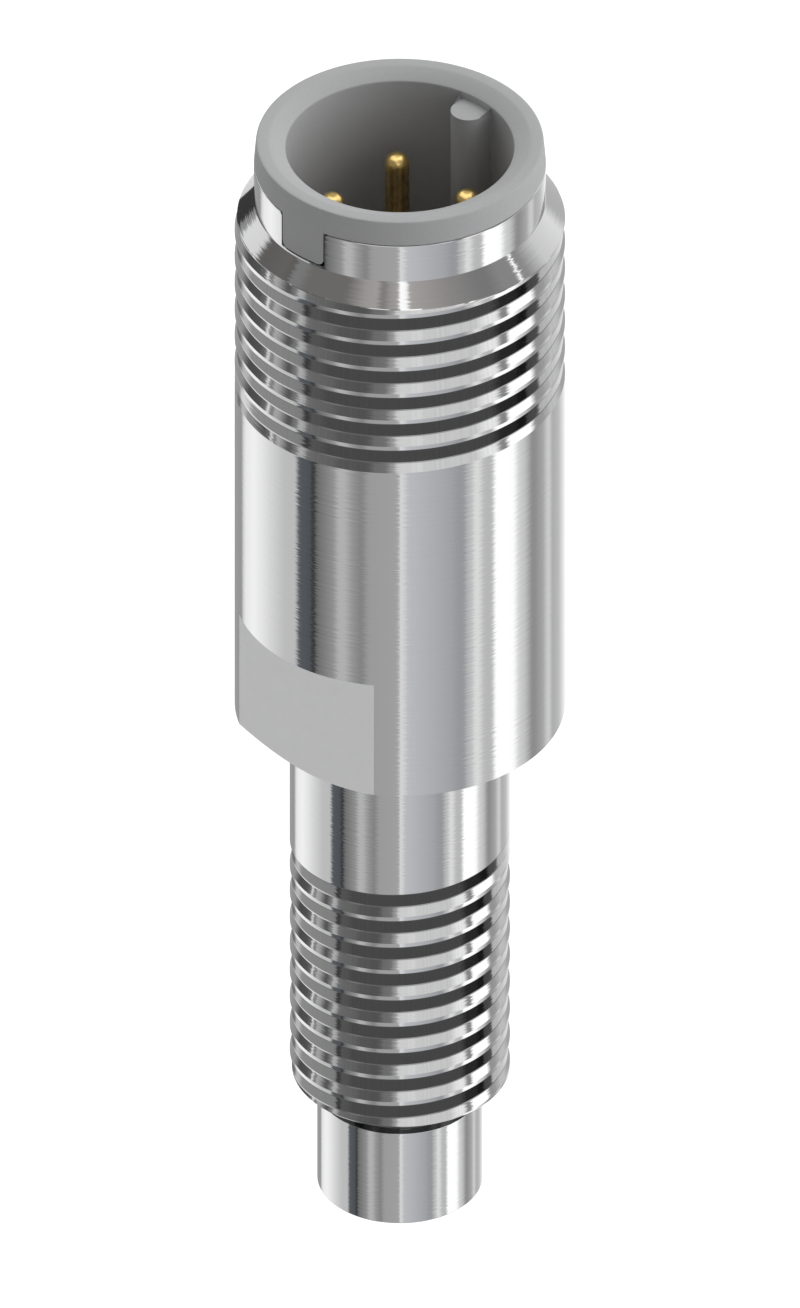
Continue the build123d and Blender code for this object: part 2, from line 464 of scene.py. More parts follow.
def collar_rows():
    """Rows of the collar's wall and of its rounded top, which is low where the slot is."""
    edge = edge_radius
    steps = [
        (collar_radius, -2 * edge),
        (collar_radius, -edge),
        (collar_radius - 0.3 * edge, -0.3 * edge),
        (collar_radius - edge, 0),
        (collar_radius - 2 * edge, 0),
        (plug_bore_radius + 2 * edge, 0),
        (plug_bore_radius + edge, 0),
        (plug_bore_radius + 0.3 * edge, -0.3 * edge),
        (plug_bore_radius, -edge),
    ]
    radii, rise = same_all_round(steps)
    foot = same_all_round([(collar_radius, collar_bottom + 0.5 * edge)])
    return np.concatenate([foot[0], radii]), np.concatenate([foot[1], tops[None, :] + rise])


# %% Bore
plug_bore_bottom = 12.4
chamber_radius = 3.5
chamber_bottom = 3.2
shank_bore_radius = 2.0
tip_floor = 0.7
drill_point_angle = 118
drill_slope = 1 / math.tan(math.radians(drill_point_angle / 2))


def bore_rows():
    """Rows of the stepped bore, from the plug's end down to the cone that the drill leaves.

    Such a cone is as high as its change of radius over the tangent of half the drill's angle.
    """
    bore_apex = tip_bottom + tip_floor
    return same_all_round([
        (plug_bore_radius, slot_floor - 0.2),
        (plug_bore_radius, plug_bore_bottom),
        (chamber_radius, plug_bore_bottom),
        (chamber_radius, chamber_bottom),
        (shank_bore_radius, chamber_bottom - (chamber_radius - shank_bore_radius) * drill_slope),
        (shank_bore_radius, bore_apex + shank_bore_radius * drill_slope),
        (0, bore_apex),
    ])


# %% Housing
row_groups = [
    tip_and_relief(),
    process_thread(),
    seat_and_flats(),
    plug_thread(),
    collar_rows(),
    bore_rows(),
]
housing_radii = np.concatenate([radii for radii, heights in row_groups])
housing_heights = np.concatenate([heights for radii, heights in row_groups])
housing = turned_piece("housing_turned", housing_radii, housing_heights, angles)
shade(housing, 3)
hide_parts("housing")
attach(housing, "root")

# %% [markdown]
# The insert is moulded in one piece. Its rim lies on the collar, its tab fills the collar's
# slot, and inside the mouth a half-round rib codes the plug, so that it fits in one way only.
# Tab and rib could be meshes of their own that reach into a round body, but a moulding has no
# such seams. So the insert is one sheet too, with columns along the sides of tab and rib. The
# rib's face at an angle from its middle line is where a ray from the axis meets its circle.

# %% Tab
carrier_radius = plug_bore_radius - 0.02
joint_height = collar_top - 0.1
tab_half_width = 1.0
tab_floor = slot_floor + 0.05
tab_corner = 0.25


def mirrored(values, sign=1):
    """Values from one side of a middle line, repeated for the other side."""
    return np.concatenate([sign * values[::-1], values[1:]])


def tab_side():
    """Angle from the tab's middle, with the height of its foot and its reach there.

    The foot rises to the side in a quarter circle. The angle is the one whose sine is the
    distance from the middle over the collar's radius.
    """
    turn = np.linspace(0, math.pi / 2, 13)
    floor_run = np.linspace(0, tab_half_width - tab_corner, 8)[:-1]
    distance = np.concatenate([floor_run, tab_half_width - tab_corner + tab_corner * np.sin(turn)])
    foot = tab_floor + tab_corner * (1 - np.cos(turn))
    foot = np.concatenate([np.full(len(floor_run), tab_floor), foot, [joint_height]])
    angle = np.arcsin(np.append(distance, distance[-1]) / collar_radius)
    reach = np.append(np.full(len(distance), collar_radius), carrier_radius)
    return angle, foot, reach


# %% Coding rib
socket_radius = 4.15
rib_radius = 0.65
rib_offset = 3.68
rib_middle = math.pi / 2


def rib_side():
    """Angle from the rib's middle, and distance of its face from the axis there.

    The face lies at the rib's offset times the cosine, less the square root of this: the rib's
    radius squared minus the square of the offset times the sine.
    """
    widest = math.asin(rib_radius / rib_offset)
    angle = widest * np.sin(np.linspace(0, math.pi / 2, 14))
    chord = rib_radius**2 - (rib_offset * np.sin(angle)) ** 2
    face = rib_offset * np.cos(angle) - np.sqrt(np.maximum(chord, 0))
    return np.append(angle, angle[-1]), np.append(face, socket_radius)


# %% Columns of the insert
def insert_columns():
    """Angle of each column, with the stem's foot and reach and the socket wall's radius there."""
    tab_turn, tab_foot, tab_reach = tab_side()
    rib_turn, rib_face = rib_side()
    tab_angles = slot_middle + mirrored(tab_turn, -1)
    rib_angles = rib_middle + mirrored(rib_turn, -1)
    step = math.radians(1)
    start = -math.pi
    runs = []
    for piece in (tab_angles, rib_angles):
        count = round((piece[0] - start) / step)
        runs.append(np.linspace(start, piece[0], count + 1)[:-1])
        start = piece[-1]
    last_run = np.linspace(start, math.pi, round((math.pi - start) / step) + 1)[1:]
    angle = np.concatenate([runs[0], tab_angles, runs[1][1:], rib_angles, last_run])
    foot = np.full(len(angle), joint_height)
    reach = np.full(len(angle), carrier_radius)
    wall = np.full(len(angle), socket_radius)
    tab_at = len(runs[0])
    rib_at = tab_at + len(tab_angles) + len(runs[1]) - 1
    foot[tab_at:tab_at + len(tab_angles)] = mirrored(tab_foot)
    reach[tab_at:tab_at + len(tab_angles)] = mirrored(tab_reach)
    wall[rib_at:rib_at + len(rib_angles)] = mirrored(rib_face)
    return angle, foot, reach, wall


# %% Rows of the insert
stem_chamfer = 0.3
insert_edge = 0.05
rim_draft = 0.08
bevel_width = 0.61
bevel_depth = 0.27
rib_top = rim_top - 0.5
socket_floor = 17.4
floor_ring = 2.0
seal_groove_radius = 3.75
seal_groove_low = 14.25
seal_groove_high = 15.55


def insert_sheet():
    """Radius and height of the insert's rows, from the middle of its foot to that of its floor."""
    angle, foot, reach, wall = insert_columns()
    edge = insert_edge
    bevel_rise = bevel_depth / bevel_width
    shoulder = np.where(wall < socket_radius - 1e-6, rib_top, rim_top - bevel_depth)
    top_radius = collar_radius - rim_draft
    bevel_radius = socket_radius + bevel_width
    joint = np.where(reach < collar_radius, collar_radius - 0.05, collar_radius)
    rows = [
        (0, carrier_bottom),
        (carrier_radius - stem_chamfer, carrier_bottom),
        (carrier_radius, carrier_bottom + stem_chamfer),
        (carrier_radius, seal_groove_low),
        (seal_groove_radius, seal_groove_low),
        (seal_groove_radius, seal_groove_high),
        (carrier_radius, seal_groove_high),
        (carrier_radius, foot),
        (reach, foot),
        (reach, collar_top - 0.02),
        (np.minimum(reach, joint), collar_top),
        (joint, collar_top),
        (collar_radius, collar_top + 0.05),
        (top_radius + 0.2 * edge, rim_top - 2 * edge),
        (top_radius, rim_top - edge),
        (top_radius - 0.3 * edge, rim_top - 0.3 * edge),
        (top_radius - edge, rim_top),
        (top_radius - 2 * edge, rim_top),
        (bevel_radius + edge, rim_top),
        (bevel_radius, rim_top - 0.15 * edge),
        (bevel_radius - edge, rim_top - edge * bevel_rise),
        (socket_radius + edge, rim_top - bevel_depth + edge * bevel_rise),
        (socket_radius + 0.3 * edge, rim_top - bevel_depth - 0.1 * edge),
        (socket_radius, rim_top - bevel_depth - edge),
        (socket_radius, shoulder - edge),
        (wall, shoulder - edge),
        (wall, shoulder - 2 * edge),
        (wall, socket_floor),
        (floor_ring, socket_floor),
        (0, socket_floor),
    ]
    radii = np.array([np.broadcast_to(row[0], angle.shape) for row in rows])
    heights = np.array([np.broadcast_to(row[1], angle.shape) for row in rows])
    return radii, heights, angle


# %% Insert
carrier = turned_piece("contact_carrier_moulded", *insert_sheet())
shade(carrier, 24)
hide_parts("contact_carrier")
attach(carrier, "root")

# %% [markdown]
# The contacts are four gold plated pins, turned in one piece each: a solder cup below the
# insert, a collar that holds the pin in the moulding, the shaft and a round nose that finds
# its way into the plug. One mesh could be linked four times and moved, but every piece here
# keeps its place in its mesh. So one function turns the same outline about each pin's own axis.
# The pins stand on one circle, 45 degrees to either side of the tab and of the rib.

# %% Outline of a pin
pin_radius = 0.45
pin_top = rim_top - 2.3
pin_nose = 0.42
pin_collar_radius = 0.75
pin_collar_height = 1.6
cup_radius = 0.6
cup_bore_radius = 0.3
cup_bottom = carrier_bottom - 2
cup_floor = carrier_bottom - 0.4


def pin_outline():
    """Outline of a pin: solder cup, collar, shaft and round nose.

    The nose is a quarter circle: its radius shrinks with one less the cosine of the turn while
    its height grows with the sine.
    """
    shaft = rounded([
        (0, cup_floor),
        (cup_bore_radius, cup_floor),
        (cup_bore_radius, cup_bottom),
        (cup_radius, cup_bottom),
        (cup_radius, carrier_bottom),
        (pin_collar_radius, carrier_bottom),
        (pin_collar_radius, carrier_bottom + pin_collar_height),
        (pin_radius, carrier_bottom + pin_collar_height),
        (pin_radius, pin_top - pin_nose - 0.02),
    ], fine_round, 2)
    turn = np.linspace(0, math.pi / 2, 12)
    nose = np.stack([
        pin_radius - pin_nose * (1 - np.cos(turn)),
        pin_top - pin_nose * (1 - np.sin(turn)),
    ], axis=1)
    return np.concatenate([shaft, nose, [(0, pin_top)]])


# %% Gold pins
contact_count = 4
contact_circle = 2.45


def make_pin(index):
    """One pin, turned about the axis at its own place on the circle."""
    outline = pin_outline()
    around = np.linspace(0, 2 * math.pi, 49)
    radii = np.repeat(outline[:, :1], len(around), axis=1)
    heights = np.repeat(outline[:, 1:], len(around), axis=1)
    place = 2 * math.pi * (index + 0.5) / contact_count
    centre = (contact_circle * math.cos(place), contact_circle * math.sin(place))
    pin = turned_piece(f"contact_pin_{index + 1}_gold", radii, heights, around, centre)
    shade(pin, 35)
    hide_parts(f"contact_pin_{index + 1}")
    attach(pin, "root")
    return pin


pins = [make_pin(index) for index in range(contact_count)]

# %% [markdown]
# Now the finishes. They could be photographed textures, but those need every mesh laid out flat,
# and they blur when the view comes close. Noise that is worked out from Object coordinates needs
# no layout and keeps its real scale in metres on every piece. A node group holds an effect that
# more than one finish uses, here the fine lines that a lathe leaves and the mottled grain of
# moulded and cast stuff. Each finish places the group with its own values.

# %% Material and math nodes
def new_material(name, piece_list):
    """A material with its tree and its shader, placed on the pieces."""
    material = bpy.data.materials.new(name)
    material.use_nodes = True
    for piece in piece_list:
        piece.data.materials.clear()
        piece.data.materials.append(material)
    return material.node_tree, material.node_tree.nodes["Principled BSDF"]


def math_node(tree, operation, *values):
    """Output of a math node whose inputs are numbers or other outputs."""
    node = tree.nodes.new("ShaderNodeMath")
    node.operation = operation
    for socket, value in zip(node.inputs, values):
        if isinstance(value, (int, float)):
            socket.default_value = value
        else:
            tree.links.new(value, socket)
    return node.outputs[0]


def map_range(tree, value, from_low, from_high, to_low, to_high):
    """Output that runs from to_low to to_high as the value runs from from_low to from_high."""
    node = tree.nodes.new("ShaderNodeMapRange")
    tree.links.new(value, node.inputs["Value"])
    node.inputs["From Min"].default_value = from_low
    node.inputs["From Max"].default_value = from_high
    node.inputs["To Min"].default_value = to_low
    node.inputs["To Max"].default_value = to_high
    return node.outputs[0]


def mix_colours(tree, share, first, second):
    """The first colour times one less the share, plus the second colour times the share."""
    node = tree.nodes.new("ShaderNodeMix")
    node.data_type = "RGBA"
    tree.links.new(share, node.inputs[0])
    for socket, colour in ((node.inputs["A"], first), (node.inputs["B"], second)):
        if isinstance(colour, tuple):
            socket.default_value = (*colour, 1)
        else:
            tree.links.new(colour, socket)
    return node.outputs["Result"]


# %% Stretched noise
def make_noise_group(name):
    """Group that stretches a noise: so many features per metre across and along the axis.

    The noise is taken at the place times those numbers.
    """
    group = bpy.data.node_groups.new(name, "ShaderNodeTree")
    for socket_name in ("Across", "Along", "Detail"):
        group.interface.new_socket(socket_name, in_out="INPUT", socket_type="NodeSocketFloat")
    group.interface.new_socket("Value", in_out="OUTPUT", socket_type="NodeSocketFloat")
    inside = group.nodes.new("NodeGroupInput")
    outside = group.nodes.new("NodeGroupOutput")
    scale = group.nodes.new("ShaderNodeCombineXYZ")
    group.links.new(inside.outputs["Across"], scale.inputs["X"])
    group.links.new(inside.outputs["Across"], scale.inputs["Y"])
    group.links.new(inside.outputs["Along"], scale.inputs["Z"])
    stretch = group.nodes.new("ShaderNodeVectorMath")
    stretch.operation = "MULTIPLY"
    group.links.new(group.nodes.new("ShaderNodeTexCoord").outputs["Object"], stretch.inputs[0])
    group.links.new(scale.outputs[0], stretch.inputs[1])
    noise = group.nodes.new("ShaderNodeTexNoise")
    noise.inputs["Scale"].default_value = 1
    group.links.new(stretch.outputs[0], noise.inputs["Vector"])
    group.links.new(inside.outputs["Detail"], noise.inputs["Detail"])
    group.links.new(noise.outputs["Fac"], outside.inputs["Value"])
    return group


stretched_noise = make_noise_group("stretched_noise")
print("node group", stretched_noise.name, "with", len(stretched_noise.nodes), "nodes")


# %% Noise and bump in a finish
def place_noise(tree, across, along, detail):
    """The stretched noise in a material, with its own values."""
    node = tree.nodes.new("ShaderNodeGroup")
    node.node_tree = stretched_noise
    node.inputs["Across"].default_value = across
    node.inputs["Along"].default_value = along
    node.inputs["Detail"].default_value = detail
    return node.outputs["Value"]


def add_bump(tree, shader, height, distance):
    """Bump from a height of 0 to 1 that stands for the distance, in metres."""
    node = tree.nodes.new("ShaderNodeBump")
    node.inputs["Distance"].default_value = distance
    node.inputs["Strength"].default_value = 1.0
    tree.links.new(height, node.inputs["Height"])
    tree.links.new(node.outputs[0], shader.inputs["Normal"])


# %% [markdown]
# The steel is turned, and almost a mirror. Three things break it up. The milled flats are matt.
# The slot and the relief at the foot of the thread are painted dark, as painted shade in these
# narrow recesses. And a very fine bump, much stretched round the axis, bends each reflection as a
# lathe's lines do. Each place could have a material of its own on picked faces, but they would
# have to be picked again whenever the mesh changes. So one material finds its places by
# coordinates.

# %% Matt places and painted shade
tree, shader = new_material("turned_stainless_steel", [housing])
place = tree.nodes.new("ShaderNodeSeparateXYZ")
tree.links.new(tree.nodes.new("ShaderNodeTexCoord").outputs["Object"], place.inputs[0])


def above(axis, limit):
    """1 where the coordinate is more than the limit in millimetres, else 0."""
    return math_node(tree, "GREATER_THAN", place.outputs[axis], limit * MM)


def below(axis, limit):
    """1 where the coordinate is less than the limit in millimetres, else 0."""
    return math_node(tree, "LESS_THAN", place.outputs[axis], limit * MM)


def both(first, second):
    """1 where both are 1, else 0."""
    return math_node(tree, "MULTIPLY", first, second)


from_middle = math_node(tree, "ABSOLUTE", place.outputs["Y"])
beyond_flat = math_node(tree, "GREATER_THAN", from_middle, (flat_distance / 2 - 0.002) * MM)
milled = both(beyond_flat, below("Z", flat_top + 0.001))
in_relief = both(above("Z", relief_bottom - 0.01), below("Z", shank_bottom - 0.001))
slot_half = slot_half_width + 0.005
across_slot = both(above("X", -slot_half), below("X", slot_half))
in_slot = both(across_slot, both(above("Z", slot_floor - 0.005), below("Y", 0.0)))
# Painted shade: the relief and the slot get a dark grey in place of the shade in these recesses.
painted_recess_shade = math_node(tree, "MAXIMUM", in_relief, in_slot)

# %% Turned steel
grain = place_noise(tree, 2500, 2500, 4)
polished = mix_colours(tree, grain, (0.655, 0.656, 0.66), (0.665, 0.666, 0.67))
matt = mix_colours(tree, grain, (0.86, 0.861, 0.865), (0.91, 0.911, 0.915))
colour = mix_colours(tree, milled, polished, matt)
# The painted shade of the relief and the slot replaces the polished colour there.
colour = mix_colours(tree, painted_recess_shade, colour, (0.25, 0.25, 0.25))
tree.links.new(colour, shader.inputs["Base Color"])
tree.links.new(map_range(tree, milled, 0, 1, 0.06, 0.33), shader.inputs["Roughness"])
shader.inputs["Metallic"].default_value = 1
add_bump(tree, shader, place_noise(tree, 90, 11000, 2), 1.5e-6)
print("turned_stainless_steel on", housing.name)

# %% [markdown]
# The insert is a glass filled plastic, grey and matt. One flat grey would look like paint. A
# faint mottle between two near greys and a fine grain show that it is moulded.

# %% Moulded plastic
tree, shader = new_material("grey_moulded_plastic", [carrier])
mottle = place_noise(tree, 7000, 7000, 4)
colour = mix_colours(tree, mottle, (0.35, 0.353, 0.357), (0.39, 0.393, 0.397))
tree.links.new(colour, shader.inputs["Base Color"])
shader.inputs["Roughness"].default_value = 0.6
add_bump(tree, shader, place_noise(tree, 9000, 9000, 2), 2e-6)
print("grey_moulded_plastic on", carrier.name)

# %% [markdown]
# The plating is bright on the noses, and its colour is painted darker down the shafts, as painted
# shade of the mouth. Two materials would meet in a hard line, so one mixes a bright and a shaded
# gold by the height.

# %% Gold plating
tree, shader = new_material("gold_plating", pins)
plating = place_noise(tree, 5000, 5000, 3)
bright = mix_colours(tree, plating, (0.73, 0.51, 0.17), (0.92, 0.69, 0.28))
# Painted shade: the darker gold of the shafts stands in for the shade down in the mouth.
painted_shade_gold = mix_colours(tree, plating, (0.34, 0.22, 0.08), (0.80, 0.60, 0.27))
place = tree.nodes.new("ShaderNodeSeparateXYZ")
tree.links.new(tree.nodes.new("ShaderNodeTexCoord").outputs["Object"], place.inputs[0])
# The share of bright gold grows towards the nose, and the painted shade fills the shafts below.
nose_share = map_range(tree, place.outputs["Z"], (pin_top - 0.7) * MM, (pin_top - 0.3) * MM, 0, 1)
tree.links.new(mix_colours(tree, nose_share, painted_shade_gold, bright), shader.inputs["Base Color"])
shader.inputs["Roughness"].default_value = 0.3
shader.inputs["Metallic"].default_value = 1
add_bump(tree, shader, place_noise(tree, 5000, 5000, 2), 1.4e-5)
print("gold_plating on", len(pins), "pins")

# %% [markdown]
# The rest is closed inside the housing. It could stay plain, but each piece gets the finish of
# its own material, so that the sensor can also be shown cut open. One helper serves them all. It
# mixes two near colours by the stretched noise, lets the same noise change the gloss a little,
# and turns it into a shallow relief. Equal numbers across and along give a cast grain, many
# across and few along give fibres or drawn lines, and the other way round gives rings or
# wrinkles.

# %% Grained finishes
def grained(name, node_names, dark, light, roughness, across, along, relief, metallic=0.0):
    """Material for CAD pieces whose colour, gloss and relief follow one stretched noise."""
    tree, shader = new_material(name, [nodes[node] for node in node_names])
    pattern = place_noise(tree, across, along, 3)
    tree.links.new(mix_colours(tree, pattern, dark, light), shader.inputs["Base Color"])
    gloss = map_range(tree, pattern, 0, 1, 0.8 * roughness, 1.2 * roughness)
    tree.links.new(gloss, shader.inputs["Roughness"])
    shader.inputs["Metallic"].default_value = metallic
    add_bump(tree, shader, pattern, relief)
    print(name, "on", len(node_names), "pieces")


contacts = range(1, contact_count + 1)
ends = ("a", "b")

# %% [markdown]
# Rubber, resin and paste. The ring that seals the insert is black rubber. The resin that fills
# the chamber is cast and sets nearly black, and the paste round the sensing element is a white
# cream that stays lumpy. Three flat colours would do in a drawing, but cut open they would look
# like paint. None of the three has a direction, so the noise is much the same both ways, and
# its size tells them apart: fine in rubber, wide in resin.

# %% Rubber, resin and paste
grained("seal_rubber", ["carrier_seal"], (0.012, 0.012, 0.013), (0.028, 0.028, 0.03), 0.55, 4000, 4000, 4e-6)
grained("cast_resin", ["potting"], (0.018, 0.02, 0.024), (0.035, 0.038, 0.045), 0.3, 700, 900, 6e-6)
grained("white_paste", ["thermal_paste"], (0.66, 0.66, 0.64), (0.80, 0.80, 0.78), 0.5, 1800, 1800, 2e-5)

# %% [markdown]
# The leads. Four thin insulated wires run from the solder cups down the chamber. Their copper
# cores are bundles of fine strands. Each strand could be a mesh, but the insulation hides them,
# so the noise is drawn out along the core instead. The extruded insulation is smooth, with
# faint lines along it.

# %% Colours of the leads
copper_dark, copper_light = (0.55, 0.24, 0.12), (0.86, 0.47, 0.30)
insulation_colours = [
    ("brown", (0.13, 0.055, 0.022), (0.17, 0.075, 0.032)),
    ("white", (0.76, 0.76, 0.74), (0.84, 0.84, 0.82)),
    ("blue", (0.014, 0.07, 0.34), (0.022, 0.10, 0.43)),
    ("black", (0.012, 0.012, 0.012), (0.024, 0.024, 0.024)),
]

# %% Leads
cores = [f"lead_core_{index}" for index in contacts]
grained("stranded_copper", cores, copper_dark, copper_light, 0.3, 9000, 500, 1.2e-5, 1.0)
for index, (colour_name, dark, light) in zip(contacts, insulation_colours):
    jacket = [f"lead_insulation_{index}"]
    grained(f"insulation_{colour_name}", jacket, dark, light, 0.38, 3000, 250, 3e-6)

# %% [markdown]
# The joints. A tinned sleeve crimps each pair of leads to a wire of the element, and a shrunk
# black tube covers it. The dents of the crimping tool could be modelled, but the tube hides
# them. So noise alone gives the fine scratches of the tin and the shallow rings of the tube.

# %% Joints
sleeves = [f"crimp_sleeve_{end}" for end in ends]
tubes = [f"shrink_sleeve_{end}" for end in ends]
grained("tinned_crimp", sleeves, (0.62, 0.62, 0.60), (0.78, 0.78, 0.76), 0.34, 2500, 5000, 6e-6, 1.0)
grained("shrunk_tube", tubes, (0.014, 0.014, 0.015), (0.03, 0.03, 0.031), 0.42, 500, 3500, 1.2e-5)

# %% [markdown]
# The sensing element. A thin platinum film lies on a small ceramic chip, its two drawn wires
# come out at the top, and a bead of glass holds them. A ceramic bead with two bores keeps the
# wires apart above the chip. The glass could be clear, but the real bead is clouded and hides
# the wires, so it is opaque and glossy.

# %% Sensing element
wires = [f"element_lead_{end}" for end in ends]
grained("drawn_platinum", wires, (0.70, 0.68, 0.65), (0.84, 0.82, 0.79), 0.22, 12000, 600, 3e-6, 1.0)
ceramic_pieces = ["lead_spacer", "element_chip"]
grained("white_ceramic", ceramic_pieces, (0.76, 0.74, 0.68), (0.85, 0.83, 0.78), 0.62, 6000, 6000, 5e-6)
grained("bead_glass", ["element_bead"], (0.58, 0.63, 0.56), (0.68, 0.73, 0.66), 0.14, 900, 900, 3e-6)

# %% [markdown]
# The studio. Polished metal has hardly a colour of its own: what it shows is the room. So the
# room is the real finish here: cards, bright ones and dark ones, that the steel mirrors. They
# could be boards and lamps that stand about, but a board meant for one surface is seen in all
# the others too. So the cards are drawn into the world. A mirror faces half way between the
# camera and what it shows, and each card is placed by the facing of the surface that shows it:
# degrees to the right of the camera, and degrees up.
#
# The upright walls and the crests of the threads show one ring of cards. In a groove, the floor
# shows a ring six degrees up, the flank one twelve degrees up, and the thin step between them
# one that is five degrees down. The chamfer shows a ring forty degrees up. Each card has its
# start, its end, its level at both and at times a tint.

# %% Tints of the cards
plain = (1.0, 1.0, 1.0)
slate = (0.90, 0.98, 1.08)
cool = (0.97, 0.99, 1.04)
warm = (1.04, 1.0, 0.965)

# %% Cards for the upright walls
wall_cards_left = [
    (-90, -73, 0.36, 0.40),
    (-71.5, -70.5, 0.80, 0.95),
    (-68.5, -62, 1.12, 1.27),
    (-56, -44.5, 1.13, 0.75),
    (-41, -38.8, 0.74, 0.76),
    (-38, -32.5, 0.15, 0.125, slate),
    (-31.8, -31.2, 0.03, 0.03),
    (-30.3, -23.5, 0.21, 0.42),
    (-22, -19.5, 0.66, 0.66),
    (-17, -13.5, 0.46, 0.32),
    (-11, -0.5, 0.49, 0.52),
    (0.3, 1.6, 1.00, 0.95),
]
wall_cards_right = [
    (0.3, 1.6, 1.00, 0.95),
    (2.5, 18, 0.75, 0.55, cool),
    (20.5, 23, 0.48, 0.46, cool),
    (24, 26, 0.68, 0.78),
    (27, 29, 1.10, 1.00),
    (30.5, 34.2, 0.72, 0.69),
    (35.2, 43.5, 1.55, 1.50),
    (46, 49, 0.95, 0.80),
    (53, 55, 0.38, 0.40),
    (58, 60, 0.50, 0.55),
    (63, 65, 0.85, 0.85),
    (67, 73, 0.58, 0.64),
    (79, 90, 0.90, 1.10),
]
print("cards for the walls:", len(wall_cards_left) + len(wall_cards_right) - 1)

# %% Cards for the step and the floor of the grooves
step_cards = [
    (-90, -70, 0.80, 0.84),
    (-64, -53, 0.98, 1.05),
    (-48, -44, 0.90, 0.86),
    (-38.3, -37, 0.50, 0.40),
    (-34, -31, 0.18, 0.16),
    (-27, -22, 0.26, 0.26),
    (-19.5, -8, 0.18, 0.18),
    (-3.4, -1.5, 0.26, 0.33),
    (0.8, 17.5, 0.48, 0.47),
    (24, 26, 0.26, 0.26),
    (30, 34, 0.36, 0.42),
    (38, 43, 0.52, 0.70),
    (46, 48, 0.62, 0.52),
    (53, 55, 0.15, 0.13),
    (59, 62, 0.23, 0.26),
    (68, 90, 0.27, 0.34),
]
root_cards = [
    (-90, -78, 0.20, 0.20),
    (-74, -70, 0.62, 0.65),
    (-66, -37.2, 0.38, 0.31),
    (-36, -34.5, 0.05, 0.06),
    (-33, -29, 0.13, 0.12),
    (-27, 34, 0.095, 0.085),
    (38, 45, 0.03, 0.028),
    (47, 50.8, 0.012, 0.012),
    (51.4, 58, 0.085, 0.10),
    (59, 65, 0.62, 0.70),
    (78, 90, 0.90, 0.90),
]
print("cards for the step and the floor:", len(step_cards) + len(root_cards))

# %% Cards for the flank of the grooves
flank_cards_left = [
    (-90, -74, 0.42, 0.38),
    (-67, -58.5, 0.10, 0.12),
    (-57, -55, 0.18, 0.17),
    (-54, -53.5, 1.10, 1.10),
    (-52.5, -51, 0.28, 0.28),
    (-50, -47, 0.60, 0.42),
    (-44, -42, 0.15, 0.12),
    (-40.6, -39.4, 0.27, 0.24),
    (-38.2, -36.4, 0.68, 0.55),
    (-34.5, -24, 0.21, 0.17),
    (-23, -12, 0.14, 0.12),
    (-9, -5, 0.22, 0.24),
    (-4, -2.5, 0.42, 0.42),
    (-1.6, 0, 0.85, 0.97),
]
flank_cards_right = [
    (-1.6, 6.5, 0.85, 0.97),
    (8, 27, 0.86, 0.82),
    (31, 35.5, 1.15, 1.20),
    (37.6, 40.3, 0.34, 0.33),
    (41.2, 52.5, 1.60, 1.60),
    (55, 60, 0.40, 0.46),
    (66, 71, 0.72, 0.74),
    (79, 90, 0.48, 0.45),
]
print("cards for the flank:", len(flank_cards_left) + len(flank_cards_right) - 1)

# %% Cards for the chamfer
chamfer_cards_left = [
    (-90, -83.5, 0.055, 0.045),
    (-82.5, -78.2, 0.36, 0.40),
    (-76.8, -63.5, 1.03, 0.97),
    (-61, -47, 0.15, 0.18, warm),
    (-45, -44, 0.15, 0.15, warm),
    (-43, -39, 0.29, 0.27),
    (-36, -20, 0.21, 0.21, warm),
    (-13, -8.5, 0.45, 0.50, warm),
    (-6.8, -5.4, 0.30, 0.30, warm),
    (-4, -0.4, 0.42, 0.50, warm),
    (0.1, 2.6, 1.50, 1.40),
]
chamfer_cards_right = [
    (0.1, 2.6, 1.50, 1.40),
    (3.4, 18, 0.52, 0.36, warm),
    (30, 34, 0.27, 0.26),
    (40, 47, 0.34, 0.33),
    (47.4, 47.9, 2.30, 2.30),
    (48.3, 52, 0.33, 0.38),
    (62, 80, 0.85, 1.05),
    (87, 90, 0.62, 0.60),
]
print("cards for the chamfer:", len(chamfer_cards_left) + len(chamfer_cards_right) - 1)

# %% Facing of a mirrored ray
world = bpy.data.worlds.new("studio")
world.use_nodes = True
bpy.context.scene.world = world
tree = world.node_tree
tree.nodes.clear()


def vector_node(operation, first, second):
    """Vector math node whose inputs are plain vectors or outputs."""
    node = tree.nodes.new("ShaderNodeVectorMath")
    node.operation = operation
    for socket, value in zip(node.inputs, (first, second)):
        if value is None:
            continue
        if isinstance(value, (tuple, np.ndarray)):
            socket.default_value = tuple(value)
        else:
            tree.links.new(value, socket)
    return node


def part_along(vector, way):
    """How far a vector goes along a way: the sum of the products of their coordinates."""
    return vector_node("DOT_PRODUCT", vector, way).outputs["Value"]


direction = tree.nodes.new("ShaderNodeTexCoord").outputs["Generated"]
halfway = vector_node("ADD", direction, camera_way).outputs[0]
facing = vector_node("NORMALIZE", halfway, None).outputs[0]
azimuth = math_node(tree, "ARCTAN2", part_along(facing, right_way), part_along(facing, front_way))
turn = math_node(tree, "MULTIPLY_ADD", azimuth, 1 / math.pi, 0.5)
rise = part_along(facing, up_way)
on_right = math_node(tree, "GREATER_THAN", azimuth, 0.0)

# %% Ring of cards
card_lean = 0.45


